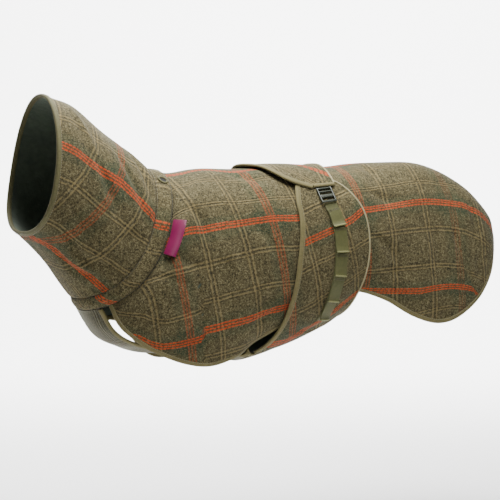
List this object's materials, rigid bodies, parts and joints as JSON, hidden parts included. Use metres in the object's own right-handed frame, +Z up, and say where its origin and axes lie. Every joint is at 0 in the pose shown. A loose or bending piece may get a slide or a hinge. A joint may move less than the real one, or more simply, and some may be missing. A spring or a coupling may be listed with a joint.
{
  "type": "dog coat",
  "caption": "Fleece-lined tweed dog coat, worn and hollow, with a high collar, chest strap and a belly belt that wraps up over the back to a hook and webbing loops.",
  "frame": {"origin": "on the inner side of the lining, on the ridge of the back just ahead of the belly belt, where the coat rests on the wearer's back", "axes": "-X towards the collar's mouth, +X towards the tail, +Z up, -Y to the wearer's left"},
  "size_m": [0.7629, 0.2266, 0.3961],
  "materials": {
    "tweed": "heather plaid tweed, soft",
    "fleece_lining": "short napped fleece",
    "binding_tape": "folded stretch tape, soft sheen",
    "webbing": "ribbed woven tape",
    "hook_plastic": "moulded, satin",
    "label_cloth": "woven satin, blank"
  },
  "bodies": {
    "root": {"back_panel": "tweed", "back_panel_binding": "binding_tape", "back_panel_lining": "fleece_lining", "belly_belt": "tweed", "belly_binding_left": "binding_tape", "belly_binding_right": "binding_tape", "chest_strap": "tweed", "collar": "tweed", "collar_lining": "fleece_lining", "collar_mouth_binding": "binding_tape", "daisy_chain_loop_1": "webbing", "daisy_chain_loop_2": "webbing", "daisy_chain_loop_3": "webbing", "daisy_chain_loop_4": "webbing", "daisy_chain_loop_5": "webbing", "daisy_chain_webbing": "webbing", "hook_frame": "hook_plastic", "label": "label_cloth", "leash_hole_rim": "binding_tape", "neck_casing_band": "tweed"}
  },
  "joints": []
}
